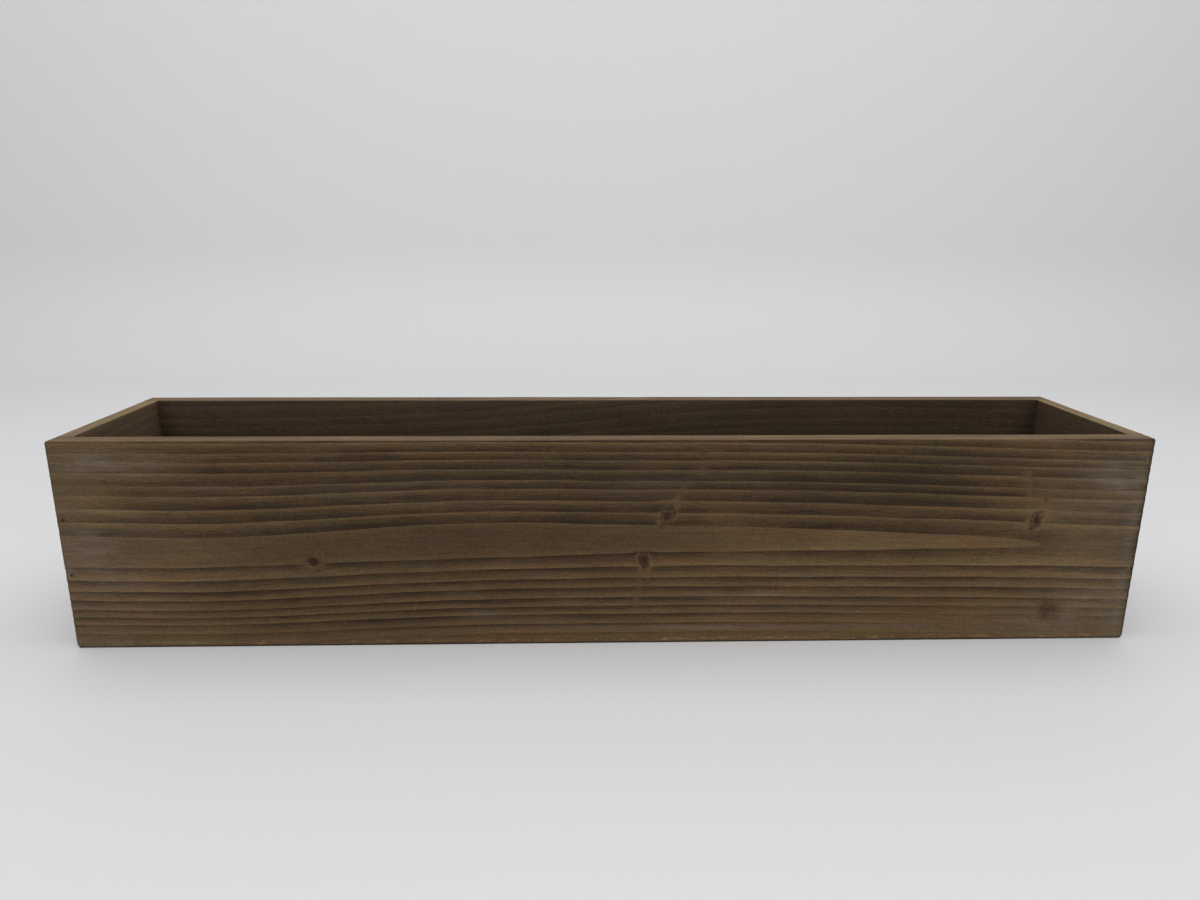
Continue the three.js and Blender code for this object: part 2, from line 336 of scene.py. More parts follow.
FRONT_GRAIN = Grain(
    heart=80.2,
    rings_up=[10.8, 19.8, 28.2, 36.9, 43.1, 51.1, 57.8, 63.6, 70.5],
    rings_down=[10.8, 20.8, 29.2, 36.4, 44.2, 50.7, 56.8, 64.3, 71.5],
    drift=front_drift,
    pith=front_pith,
    knots=[
        (40.5, 97.8, 4.4, 8.2, 24, 1),
        (24.3, 64.6, 3.6, 6, -14, 1.5),
        (303.3, 93.4, 4.4, 7.4, 24, 2),
        (-208.5, 65.3, 3, 2.7, 0, 2.5),
    ],
    tracks=[
        (45, 106, 53, 122, 2.5),
        (27, 52, 28, 59, 2),
        (19, 28, 22, 58, 2),
        (64, 128, 65.5, 152, 1.8),
        (297, 104, 294, 128, 2.5),
        (324, 32, 321, 58, 2.5),
        (28, 74, 34, 90, 2.5),
    ],
    calm=[
        (-208, 63, 7, 6, 1.6),
        (312, 95, 6, 6, 0.6),
        (65.5, 140.5, 5, 5, 0.8),
        (324, 22, 12, 9, 0.7),
        (0, 2, 1500, 13, 0.85),
        (290, 20, 130, 13, 0.5),
        (-375, 134, 50, 30, 0.65),
        (-290, 146, 70, 8, 0.4),
        (-370, 106, 30, 14, 0.4),
        (345, 112, 45, 30, 0.3),
        (304, 108, 12, 14, 0.5),
        (350, 74, 32, 8, 0.6),
    ],
    stain=[
        (-145, 60, 150, 160, 0.55),
        (30, 90, 60, 90, 0.25),
        (200, 100, 60, 60, 0.15),
        (-60, 84, 90, 14, 0.25),
        (-235, 22, 40, 14, 0.25),
        (-345, 122, 40, 9, 0.35),
        (-240, 126, 50, 8, 0.4),
        (-150, 82, 150, 9, 0.25),
        (0, 125, 130, 10, 0.15),
        (120, 118, 50, 14, 0.15),
        (125, 80, 40, 8, 0.25),
        (250, 141, 50, 8, 0.4),
        (0, 127, 60, 16, 0.5),
        (165, 119, 80, 20, 0.9),
        (-235, 128, 70, 14, 0.3),
        (-40, 42, 70, 12, 0.2),
        (-260, 36, 60, 10, 0.2),
        (230, 132, 60, 14, 0.6),
        (158, 76, 90, 9, -0.5),
        (-320, 58, 60, 16, -0.4),
        (300, 60, 70, 14, -0.5),
        (-350, 110, 35, 22, -0.5),
        (350, 95, 40, 25, -0.4),
        (0, 5, 500, 7, -0.15),
        (-150, 146, 150, 8, -0.2),
        (50, 61, 45, 9, -0.3),
        (-145, 66, 45, 8, -0.3),
    ],
    smudge=[
        (-208.3, 65.3, 3.2, 2.8, 0.7),
        (-211.6, 66, 1.5, 1.3, 0.7),
        (-205.4, 64.4, 1.3, 1.3, 0.6),
        (-207.6, 62.2, 1.3, 1, 0.6),
        (-209, 68.2, 1.8, 0.8, 0.5),
        (-205.3, 58.4, 1, 0.9, 0.9),
        (303.5, 93, 3.2, 5, 0.7),
        (24, 64.5, 2.8, 4.6, 0.8),
        (39.6, 97.5, 1.4, 4, 0.6),
        # Dark strips down both ends: painted shade on the rounded upright edges.
        (381.5, 76, 2.3, 300, 1.5),
        (-381.5, 76, 1.3, 300, 0.9),
        (321.5, 24.5, 8, 7, 0.75),
        (330, 17, 5, 2.4, 0.45),
        (317, 17.5, 3, 2.2, 0.4),
        (65, 143, 2, 1.6, 0.5),
        (64, 139, 1.6, 1.3, 0.4),
        (308.5, 108.5, 1.4, 1.2, 0.6),
        (321.5, 49.5, 2.6, 1.4, 0.4),
        (18.5, 70.5, 1.8, 1.2, 0.5),
        (36, 89, 2, 1.4, 0.5),
        (299, 86.5, 2.4, 1.6, 0.5),
        (-376.4, 136.5, 1.5, 1.5, 0.4),
    ],
    bloom=[
        (-350, 137, 45, 9, 0.8),
        (-365, 68, 22, 12, 0.6),
        (-362, 88, 6, 5, 0.5),
        (372, 76, 4, 90, 0.7),
        (360, 124, 22, 14, 0.8),
        (358, 35, 24, 5, 0.8),
        (330, 15, 55, 12, 0.6),
        (-150, 120, 60, 8, 0.25),
        (30, 120, 40, 8, 0.2),
        # These three are painted highlights: thin pale lines along ring ridges.
        (-90, 24, 18, 3, 0.6),
        (90, 37, 60, 2, 0.6),
        (90, 12, 150, 1.8, 0.8),
        (-300, 3, 90, 2, 0.5),
        (-350, 60, 55, 45, 0.35),
        (350, 85, 50, 70, 0.25),
        (340, 25, 40, 20, 0.12),
    ],
)


def plain_grain(heart, seed, spacing=8.5, rise=0.0, **marks):
    """Even rings that wander a little; rise is how far they climb towards the +X end."""
    edges = [spacing * (i + 0.8 + 0.12 * math.sin(2.4 * i + seed)) for i in range(14)]
    return Grain(
        heart=heart,
        rings_up=edges,
        rings_down=edges,
        drift=lambda x, level: 2.5 * np.sin(x / 140 + seed) + rise * np.tanh(x / 130) + 0 * level,
        pith=lambda x: 60 * np.sin(x / 260 + seed),
        seed=seed,
        **marks,
    )


# ---------------------------------------------------------------- boards


def spaced(low, high, step, close=()):
    """Places from low to high about a step apart, with closer ones set in at each end."""
    inset = close[-1] if len(close) else 0
    count = max(1, round((high - low - 2 * inset) / step))
    middle = np.linspace(low + inset, high - inset, count + 1)
    ends = np.asarray(close[:-1], float)
    return np.concatenate([low + ends, middle, high - ends[::-1]])


def grid_box(us, ts, ws):
    """A closed box of grid faces: its points as indices into us, ts and ws, and quads."""
    last = (len(us) - 1, len(ts) - 1, len(ws) - 1)
    sides = []
    for fixed, columns, rows in ((2, 0, 1), (1, 0, 2), (0, 2, 1)):
        for at in (0, last[fixed]):
            corner = np.zeros((last[rows], last[columns], 4, 3), int)
            corner[..., fixed] = at
            corner[..., rows] = np.arange(last[rows])[:, None, None] + np.array((0, 0, 1, 1))
            corner[..., columns] = np.arange(last[columns])[:, None] + np.array((0, 1, 1, 0))
            outward = (at == 0) == (fixed == 2)
            corner = corner if outward else corner[..., ::-1, :]
            sides.append(corner.reshape(-1, 3))
    points, index = np.unique(np.concatenate(sides), axis=0, return_inverse=True)
    return points, index.reshape(-1, 4)


def round_edge(a, b, radius):
    """Moves points near a square edge, a and b in from its two faces, on to a round."""
    near = (a < radius) & (b < radius)
    da, db = radius - a, radius - b
    reach = np.maximum(np.maximum(da, db), 0)
    length = np.maximum(np.hypot(da, db), 1e-9)
    pull = np.where(near, reach / length, 1.0)
    return np.where(near, radius - da * pull, a), np.where(near, radius - db * pull, b)


def set_values(mesh, name, values):
    kind = "FLOAT_VECTOR" if values.ndim == 2 else "FLOAT"
    attribute = mesh.attributes.get(name) or mesh.attributes.new(name, kind, "POINT")
    attribute.data.foreach_set("vector" if values.ndim == 2 else "value", values.ravel())


def read_points(mesh):
    points = np.empty(3 * len(mesh.vertices), np.float32)
    mesh.vertices.foreach_get("co", points)
    normals = np.empty(3 * len(mesh.vertices), np.float32)
    mesh.vertex_normals.foreach_get("vector", normals)
    return points.reshape(-1, 3).astype(float), normals.reshape(-1, 3).astype(float)


class Board:
    """One board, and where it stands. Its own x runs along it from its middle, z up its
    width from its lower edge, and depth in from its outside face."""

    edge_rows = (0, 0.2, 0.4, 0.65, 0.9, 1.25, 1.6, 2.1, 2.7, 3.3)

    def __init__(self, node, grain, size, middle, along, inward, up=(0, 0, 1), **shape):
        self.node = node
        self.grain = grain
        self.length, self.width, self.thickness = size
        self.middle = np.array(middle, float)  # of the outside face's lower edge
        self.along, self.inward, self.up = (np.array(v, float) for v in (along, inward, up))
        self.rim, self.foot = shape.get("rim", 0), shape.get("foot", 0)
        self.inner_rim = shape.get("inner_rim", 0)
        self.rim_length = shape.get("rim_length", self.length + 2)
        self.upright = shape.get("upright", 0)
        self.corner_low, self.corner_high = shape.get("corners", (0, 0))
        self.step, self.row = shape.get("step", 8), shape.get("row", 0.65)
        self.slot = shape.get("slot", "brushed_fir")
        self.groove = shape.get("groove", 0.4)  # how deep the brush has cut each ring
        self.rim_pale = shape.get("rim_pale", 1)
        self.inner_stain = shape.get("inner_stain", 0)

    def to_box(self, x, z, depth):
        flat = np.outer(x, self.along) + np.outer(depth, self.inward) + np.outer(z, self.up)
        return (self.middle + flat) * MM

    def to_board(self, points):
        offset = points / MM - self.middle
        return offset @ self.along, offset @ self.up, offset @ self.inward

    def columns(self):
        """Places along the board, set closer at its ends and round its knots."""
        half = self.length / 2
        columns = spaced(-half, half, self.step, (*self.edge_rows, 4.5, 7))
        for cx, _, half_x, _, _, _ in self.grain.knots:
            near = np.arange(-2.2, 2.21, 0.4) * half_x + cx
            clear = np.abs(columns - cx) > 2.2 * half_x + 0.4
            columns = np.concatenate([columns[clear], near])
        return np.unique(np.round(columns, 3))

    def blank(self):
        """The sawn board with its arrises eased. Its rows of points run with the rings."""
        us = self.columns()
        ts = spaced(0, self.width, self.row, self.edge_rows)
        ws = [*self.edge_rows, 6, *(self.thickness - row for row in self.edge_rows[:5])]
        ws = np.unique(ws)
        points, quads = grid_box(us, ts, ws)
        x, level, depth = us[points[:, 0]], ts[points[:, 1]], ws[points[:, 2]]
        drift = self.grain.drift(x, level)
        straight = self.edge_rows[-1]  # how far in from the edges the rows stay level
        bent = straight + 3.2 * np.abs(drift).max()
        drift = drift * ease(straight, bent, level) * ease(straight, bent, self.width - level)
        z = level + drift
        depth, below = round_edge(depth, self.width - z, self.rim)
        depth, z = round_edge(depth, self.width - below, self.foot)
        inner, below = round_edge(self.thickness - depth, self.width - z, self.inner_rim)
        open_side = np.abs(x) < self.rim_length / 2
        depth = np.where(open_side, self.thickness - inner, depth)
        z = np.where(open_side, self.width - below, z)
        side = np.sign(x)
        from_end = self.length / 2 - np.abs(x)
        from_end, depth = round_edge(from_end, depth, self.upright)
        from_end, z = round_edge(from_end, z, self.corner_low)
        from_end, below = round_edge(from_end, self.width - z, self.corner_high)
        x = np.where(side == 0, x, side * (self.length / 2 - from_end))
        points = self.to_box(x, self.width - below, depth)
        return link_mesh(self.node + "_wood", points, quads.tolist())

    def mark(self, piece):
        """Writes on each point what its bit of wood is: ring, grain, stain, wear and so on, and where
        painted light and shade go.
        """
        mesh = piece.data
        points, normals = read_points(mesh)
        x, z, depth = self.to_board(points)
        grain = self.grain
        across = grain.straightened(x, z) - grain.heart
        outside, inside = -normals @ self.inward, ease(0.5, 0.9, normals @ self.inward)
        end, top = np.abs(normals @ self.along), normals @ self.up
        from_end = self.length / 2 - np.abs(x)
        calm = grain.calm(x, z) * ease(4, 1, depth)
        brushed = np.maximum.reduce([
            ease(0.2, 0.9, outside),
            0.45 * ease(0.3, 0.9, top),
            0.7 * ease(0.5, 0.9, end),
            0.12 * inside,
        ])
        arris = np.minimum.reduce([
            np.hypot(depth, self.width - z),
            np.hypot(self.thickness - depth, self.width - z),
            np.hypot(from_end, depth),
        ])
        seam = np.minimum(np.abs(INNER_LENGTH / 2 - np.abs(x)), np.abs(from_end - 0.3))
        for name, values in {
            "ring": grain.ring_number(x, z, depth),
            "grain": np.stack([x, across, depth + grain.from_others], -1) * MM,
            "knot": grain.knot_distance(x, z) + ease(2, 8, depth) * 9,
            "calm": calm,
            "brushed": brushed * (1 - calm),
            "end_grain": ease(0.55, 0.9, end),
            # rim: the up-facing top edge, paled by wear and by painted light from above.
            "rim": self.rim_pale * ease(0.6, 0.97, top) * ease(self.width - 4, self.width - 1, z),
            "inside": inside,
            # seam: where the inner corners get painted shade.
            "seam": np.exp(-seam / 3.0) * inside,
            "wear": np.exp(-arris / 1.4),
            "foot": z,
            "ends": np.exp(-from_end / 22),
            "stain": soft_spots(x, z, grain.spots["stain"]) + self.inner_stain * inside,
            # smudge: dark marks round knots, and painted shade down the rounded upright ends.
            "smudge": soft_spots(x, z, grain.spots["smudge"]) * ease(6, 1, depth),
            # bloom: dry stain, and painted highlights along a few ring ridges.
            "bloom": soft_spots(x, z, grain.spots["bloom"]) * ease(6, 1, depth),
        }.items():
            set_values(mesh, name, values)


# ---------------------------------------------------------------- wiring nodes


class Nodes:
    """A node tree being wired. The same helpers serve a finish and a shape."""

    def __init__(self, tree):
        self.tree = tree

    def add(self, kind, **settings):
        node = self.tree.nodes.new(kind)
        for name, value in settings.items():
            setattr(node, name, value)
        return node

    def feed(self, socket, value):
        if isinstance(value, bpy.types.NodeSocket):
            self.tree.links.new(value, socket)
        elif value is not None:
            socket.default_value = value

    def made(self, kind, inputs, **settings):
        """A node with its inputs fed by name or number, as its first output."""
        node = self.add(kind, **settings)
        for name, value in inputs.items():
            self.feed(node.inputs[name], value)
        return next(output for output in node.outputs if output.enabled)

    def math(self, operation, a, b=None, c=None):
        return self.made("ShaderNodeMath", {0: a, 1: b, 2: c}, operation=operation)

    def times(self, *factors):
        product = factors[0]
        for factor in factors[1:]:
            product = self.math("MULTIPLY", product, factor)
        return product

    def plus(self, total, *terms):
        """total and each (value, weight) added up."""
        for value, weight in terms:
            total = self.math("MULTIPLY_ADD", value, weight, total)
        return total

    def clamped(self, a):
        return self.made("ShaderNodeClamp", {"Value": a})

    def ease(self, x, low, high, out_low=0.0, out_high=1.0):
        ends = {"From Min": low, "From Max": high, "To Min": out_low, "To Max": out_high}
        return self.made("ShaderNodeMapRange", {"Value": x, **ends}, interpolation_type="SMOOTHSTEP")

    def stretched(self, vector, scale, shift=(0, 0, 0)):
        inputs = {0: vector, 1: scale, 2: shift}
        return self.made("ShaderNodeVectorMath", inputs, operation="MULTIPLY_ADD")

    def noise(self, vector, detail=3.0, roughness=0.55, scale=1.0):
        inputs = {"Vector": vector, "Scale": scale, "Detail": detail, "Roughness": roughness}
        return self.made("ShaderNodeTexNoise", inputs)

    def swing(self, vector, scale, detail=3.0, roughness=0.6, shift=(0, 0, 0)):
        """Noise stretched over a vector, between about -1 and 1."""
        noise = self.noise(self.stretched(vector, scale, shift), detail, roughness)
        return self.ease(noise, 0.28, 0.72, -1, 1)

    def patches(self, vector, scale, shift, detail, roughness, low, high):
        """Noise stretched over a vector, cut to patches: 1 in them and 0 between."""
        noise = self.noise(self.stretched(vector, scale, shift), detail, roughness)
        return self.ease(noise, low, high)

    def without(self, a):
        return self.math("SUBTRACT", 1.0, a)

    def joined(self, x, y, z):
        return self.made("ShaderNodeCombineXYZ", {0: x, 1: y, 2: z})

    def parts(self, vector):
        node = self.add("ShaderNodeSeparateXYZ")
        self.feed(node.inputs[0], vector)
        return node.outputs

    def curve(self, x, stops):
        """A smooth curve through (x, y) stops."""
        node = self.add("ShaderNodeFloatCurve")
        self.feed(node.inputs["Value"], x)
        points = node.mapping.curves[0].points
        for _ in stops[2:]:
            points.new(0.5, 0.5)
        for point, stop in zip(points, stops):
            point.location = stop
            point.handle_type = "AUTO_CLAMPED"
        node.mapping.update()
        return node.outputs[0]


class Finish(Nodes):
    """A material and the nodes that make it."""

    def __init__(self, name):
        self.material = bpy.data.materials.new(name)
        self.material.use_nodes = True
        super().__init__(self.material.node_tree)
        self.shader = self.tree.nodes["Principled BSDF"]

    def value(self, name):
        return self.add("ShaderNodeAttribute", attribute_name=name).outputs["Fac"]

    def vector(self, name):
        return self.add("ShaderNodeAttribute", attribute_name=name).outputs["Vector"]

    def tones(self, x, stops):
        node = self.add("ShaderNodeValToRGB")
        self.feed(node.inputs["Fac"], x)
        elements = node.color_ramp.elements
        for _ in stops[2:]:
            elements.new(0.5)
        for element, (at, colour) in zip(elements, stops):
            element.position = at
            element.color = (*colour, 1)
        return node.outputs["Color"]

    def blend(self, factor, a, b, kind="MIX"):
        colours = {i: (*c, 1) if isinstance(c, tuple) else c for i, c in ((6, a), (7, b))}
        inputs = {"Factor": factor, **colours}
        return self.made("ShaderNodeMix", inputs, data_type="RGBA", blend_type=kind)

    def bump(self, height, distance, strength):
        inputs = {"Height": height, "Distance": distance, "Strength": strength}
        return self.made("ShaderNodeBump", inputs)


class Shape(Nodes):
    """A Geometry Nodes tree from a plain mesh to a plain mesh, with its sizes as inputs."""

    def __init__(self, name, **sizes):
        super().__init__(bpy.data.node_groups.new(name, "GeometryNodeTree"))
        face = self.tree.interface
        face.new_socket("Geometry", in_out="OUTPUT", socket_type="NodeSocketGeometry")
        face.new_socket("Geometry", in_out="INPUT", socket_type="NodeSocketGeometry")
        for label, value in sizes.items():
            kind = "NodeSocketInt" if isinstance(value, int) else "NodeSocketFloat"
            socket = face.new_socket(label, in_out="INPUT", socket_type=kind)
            socket.default_value = value
        face.new_socket("Finish", in_out="INPUT", socket_type="NodeSocketMaterial")
        self.inputs = self.add("NodeGroupInput").outputs

    def value(self, name):
        kind = "FLOAT_VECTOR" if name == "grain" else "FLOAT"
        return self.made("GeometryNodeInputNamedAttribute", {"Name": name}, data_type=kind)

    def random(self, low, high, seed):
        node = self.add("FunctionNodeRandomValue", data_type="FLOAT")
        floats = [socket for socket in node.inputs if socket.enabled]
        for socket, value in zip(floats, (low, high, None, seed)):
            self.feed(socket, value)
        return next(output for output in node.outputs if output.enabled)

    def along(self, direction, *lengths):
        """A vector along one axis, 0, 1 or 2, as long as the lengths multiplied."""
        length = self.times(*lengths)
        return self.joined(*(length if axis == direction else 0.0 for axis in range(3)))

    def moved(self, geometry, place, turn=(0, 0, 0)):
        inputs = {"Geometry": geometry, "Translation": place, "Rotation": turn}
        return self.made("GeometryNodeTransform", inputs)

    def copied(self, points, blank, turn=None, scale=None):
        inputs = {"Points": points, "Instance": blank, "Rotation": turn, "Scale": scale}
        return self.made("GeometryNodeInstanceOnPoints", inputs)

    def together(self, *parts):
        node = self.add("GeometryNodeJoinGeometry")
        for part in parts:
            self.tree.links.new(part, node.inputs[0])
        return node.outputs[0]

    def done(self, geometry):
        geometry = self.made("GeometryNodeRealizeInstances", {"Geometry": geometry})
        finish = {"Geometry": geometry, "Material": self.inputs["Finish"]}
        geometry = self.made("GeometryNodeSetMaterial", finish)
        self.feed(self.add("NodeGroupOutput").inputs[0], geometry)

    def apply(self, piece, finish, **sizes):
        """Runs the tree on the piece, with these sizes, and leaves it a plain mesh."""
        modifier = piece.modifiers.new(self.tree.name, "NODES")
        modifier.node_group = self.tree
        values = {"Finish": finish, **sizes}
        for socket in self.tree.interface.items_tree:
            if socket.in_out == "INPUT" and socket.name in values:
                modifier[socket.identifier] = values[socket.name]
        return settle(piece, finish)


def settle(piece, finish):
    """Turns what the piece's modifiers make into its own plain mesh, all of one finish."""
    graph = bpy.context.evaluated_depsgraph_get()
    mesh = bpy.data.meshes.new_from_object(piece.evaluated_get(graph))
    piece.modifiers.clear()
    mesh.materials.clear()
    mesh.materials.append(finish)
    mesh.polygons.foreach_set("material_index", [0] * len(mesh.polygons))
    piece.data = mesh
    return piece


def cut(piece, cutters, finish):
    """Takes the cutters' shapes out of a closed piece."""
    for cutter in cutters:
        modifier = piece.modifiers.new("cut", "BOOLEAN")
        modifier.operation = "DIFFERENCE"
        modifier.solver = "MANIFOLD"
        modifier.object = cutter
    return settle(piece, finish)


# ---------------------------------------------------------------- shapes that follow a rule


def wire_brushing():
    """The soft wood that starts each ring is brushed away, and slopes back up to the next
    hard edge, with fine fibres left standing."""
    shape = Shape("wire_brushing", **{
        "Groove Depth": 0.4 * MM, "Groove Fall": 0.14, "Groove Rise": 1.1,
        "Fibre Depth": 0.09 * MM, "Knot Ditch": 0.18 * MM,
    })
    ring, grain = shape.value("ring"), shape.value("grain")
    part = shape.math("FRACT", ring)
    fall = shape.ease(part, 0.0, shape.inputs["Groove Fall"])
    rise = shape.ease(part, 0.1, shape.inputs["Groove Rise"], 1, 0)
    whole = shape.math("GREATER_THAN", ring, 1.0)
    uneven = shape.plus(0.8, (shape.swing(grain, (12, 90, 90), 2.0), 0.2))
    groove = shape.times(fall, rise, whole, uneven, shape.inputs["Groove Depth"])
    fibres = shape.ease(shape.swing(grain, (60, 900, 900), 2.0), -1, 1)
    sink = shape.plus(groove, (fibres, shape.inputs["Fibre Depth"]))
    sink = shape.times(sink, shape.value("brushed"))
    knot = shape.value("knot")
    ditch = shape.times(shape.ease(knot, 0.8, 1.05), shape.ease(knot, 1.05, 1.5, 1, 0))
    sink = shape.plus(sink, (ditch, shape.inputs["Knot Ditch"]))
    normal = shape.made("GeometryNodeInputNormal", {})
    inputs = {0: normal, "Scale": shape.math("MULTIPLY", sink, -1.0)}
    offset = shape.made("ShaderNodeVectorMath", inputs, operation="SCALE")
    worn = {"Geometry": shape.inputs["Geometry"], "Offset": offset}
    shape.done(shape.made("GeometryNodeSetPosition", worn))
    return shape


def corner_rows():
    """A blank that points in from y = 0, at every brad's place: a row up each corner."""
    shape = Shape("corner_rows", **{
        "Box Length": LENGTH * MM, "Box Depth": DEPTH * MM, "Inset": BRAD_INSET * MM,
        "Lowest": BRAD_LOWEST * MM, "Rise": BRAD_RISE * MM, "Rows": BRADS_PER_CORNER, "Seed": 7,
    })
    size = shape.inputs
    row = shape.made("GeometryNodeMeshLine", {
        "Count": size["Rows"],
        "Start Location": shape.along(2, size["Lowest"]),
        "Offset": shape.along(2, size["Rise"]),
    })
    roll = shape.along(1, shape.random(0.0, 2 * math.pi, size["Seed"]))
    row = shape.copied(row, size["Geometry"], roll)
    half_length = shape.math("SUBTRACT", shape.times(size["Box Length"], 0.5), size["Inset"])
    half_depth = shape.times(size["Box Depth"], -0.5)
    places = [shape.joined(shape.times(half_length, side), half_depth, 0.0) for side in (-1, 1)]
    front = shape.together(*(shape.moved(row, place) for place in places))
    shape.done(shape.together(front, shape.moved(front, (0, 0, 0), (0, 0, math.pi))))
    return shape


def centred_row():
    """A blank repeated along X, centred on its own place."""
    shape = Shape("centred_row", Count=4, Spacing=0.18)
    size = shape.inputs
    gaps = shape.math("SUBTRACT", size["Count"], 1.0)
    row = shape.made("GeometryNodeMeshLine", {
        "Count": size["Count"],
        "Start Location": shape.along(0, gaps, size["Spacing"], -0.5),
        "Offset": shape.along(0, size["Spacing"]),
    })
    shape.done(shape.copied(row, size["Geometry"]))
    return shape


def scattered():
    """A blank on each point of a cloud, each turned about Y and sized at random."""
    shape = Shape("scattered", Least=0.8, Most=1.15, Seed=3)
    size = shape.inputs
    blank = shape.add("GeometryNodeObjectInfo", transform_space="ORIGINAL")
    blank.inputs["Object"].default_value = bpy.data.objects["dab_blank"]
    turn = shape.along(1, shape.random(0.0, 2 * math.pi, size["Seed"]))
    scale = shape.random(size["Least"], size["Most"], size["Seed"])
    shape.done(shape.copied(size["Geometry"], blank.outputs["Geometry"], turn, scale))
    return shape


def turned(name, steps, sides):
    """A form turned round the +Y axis from (radius, y) steps, closed by a point at each end."""
    angles = 2 * np.pi * np.arange(sides) / sides
    rings = [(r * np.cos(a), y, r * np.sin(a)) for r, y in steps for a in angles]
    tips = [(0, steps[0][1], 0), (0, steps[-1][1], 0)]
    faces = []
    for i in range(sides):
        j = (i + 1) % sides
        faces.append((len(rings), i, j))
        for k in range(0, sides * (len(steps) - 1), sides):
            faces.append((k + i, k + sides + i, k + sides + j, k + j))
        end = sides * (len(steps) - 1)
        faces.append((len(rings) + 1, end + j, end + i))
    return link_mesh(name, MM * np.array(rings + tips), faces)


def bored_hole():
    """The punch mark that takes a brad's head, and the narrow hole for its shank."""
    wide, narrow = BRAD_HEAD / 2 + 0.1, BRAD_SHANK / 2 + BRAD_CLEARANCE
    seat = BRAD_SET + BRAD_HEAD_HEIGHT + BRAD_CLEARANCE
    end = BRAD_SET + BRAD_LENGTH + BRAD_CLEARANCE
    steps = [(wide + 0.25, -1), (wide, 0.15), (wide, seat), (narrow, seat), (narrow, end)]
    return turned("bored_hole", steps, 20)


def brad_blank():
    """A brad with a slightly domed, chamfered head and a tapered point."""
    head, shank = BRAD_HEAD / 2, BRAD_SHANK / 2
    under_head = BRAD_SET + BRAD_HEAD_HEIGHT
    tip = BRAD_SET + BRAD_LENGTH
    return turned("brads", [
        (0.35 * head, BRAD_SET),
        (0.8 * head, BRAD_SET + 0.05),
        (head, BRAD_SET + 0.2),
        (head, under_head - 0.15),
        (0.85 * head, under_head),
        (shank, under_head + 0.1),
        (shank, tip - BRAD_POINT),
        (0.12, tip),
    ], 16)


# ---------------------------------------------------------------- finishes


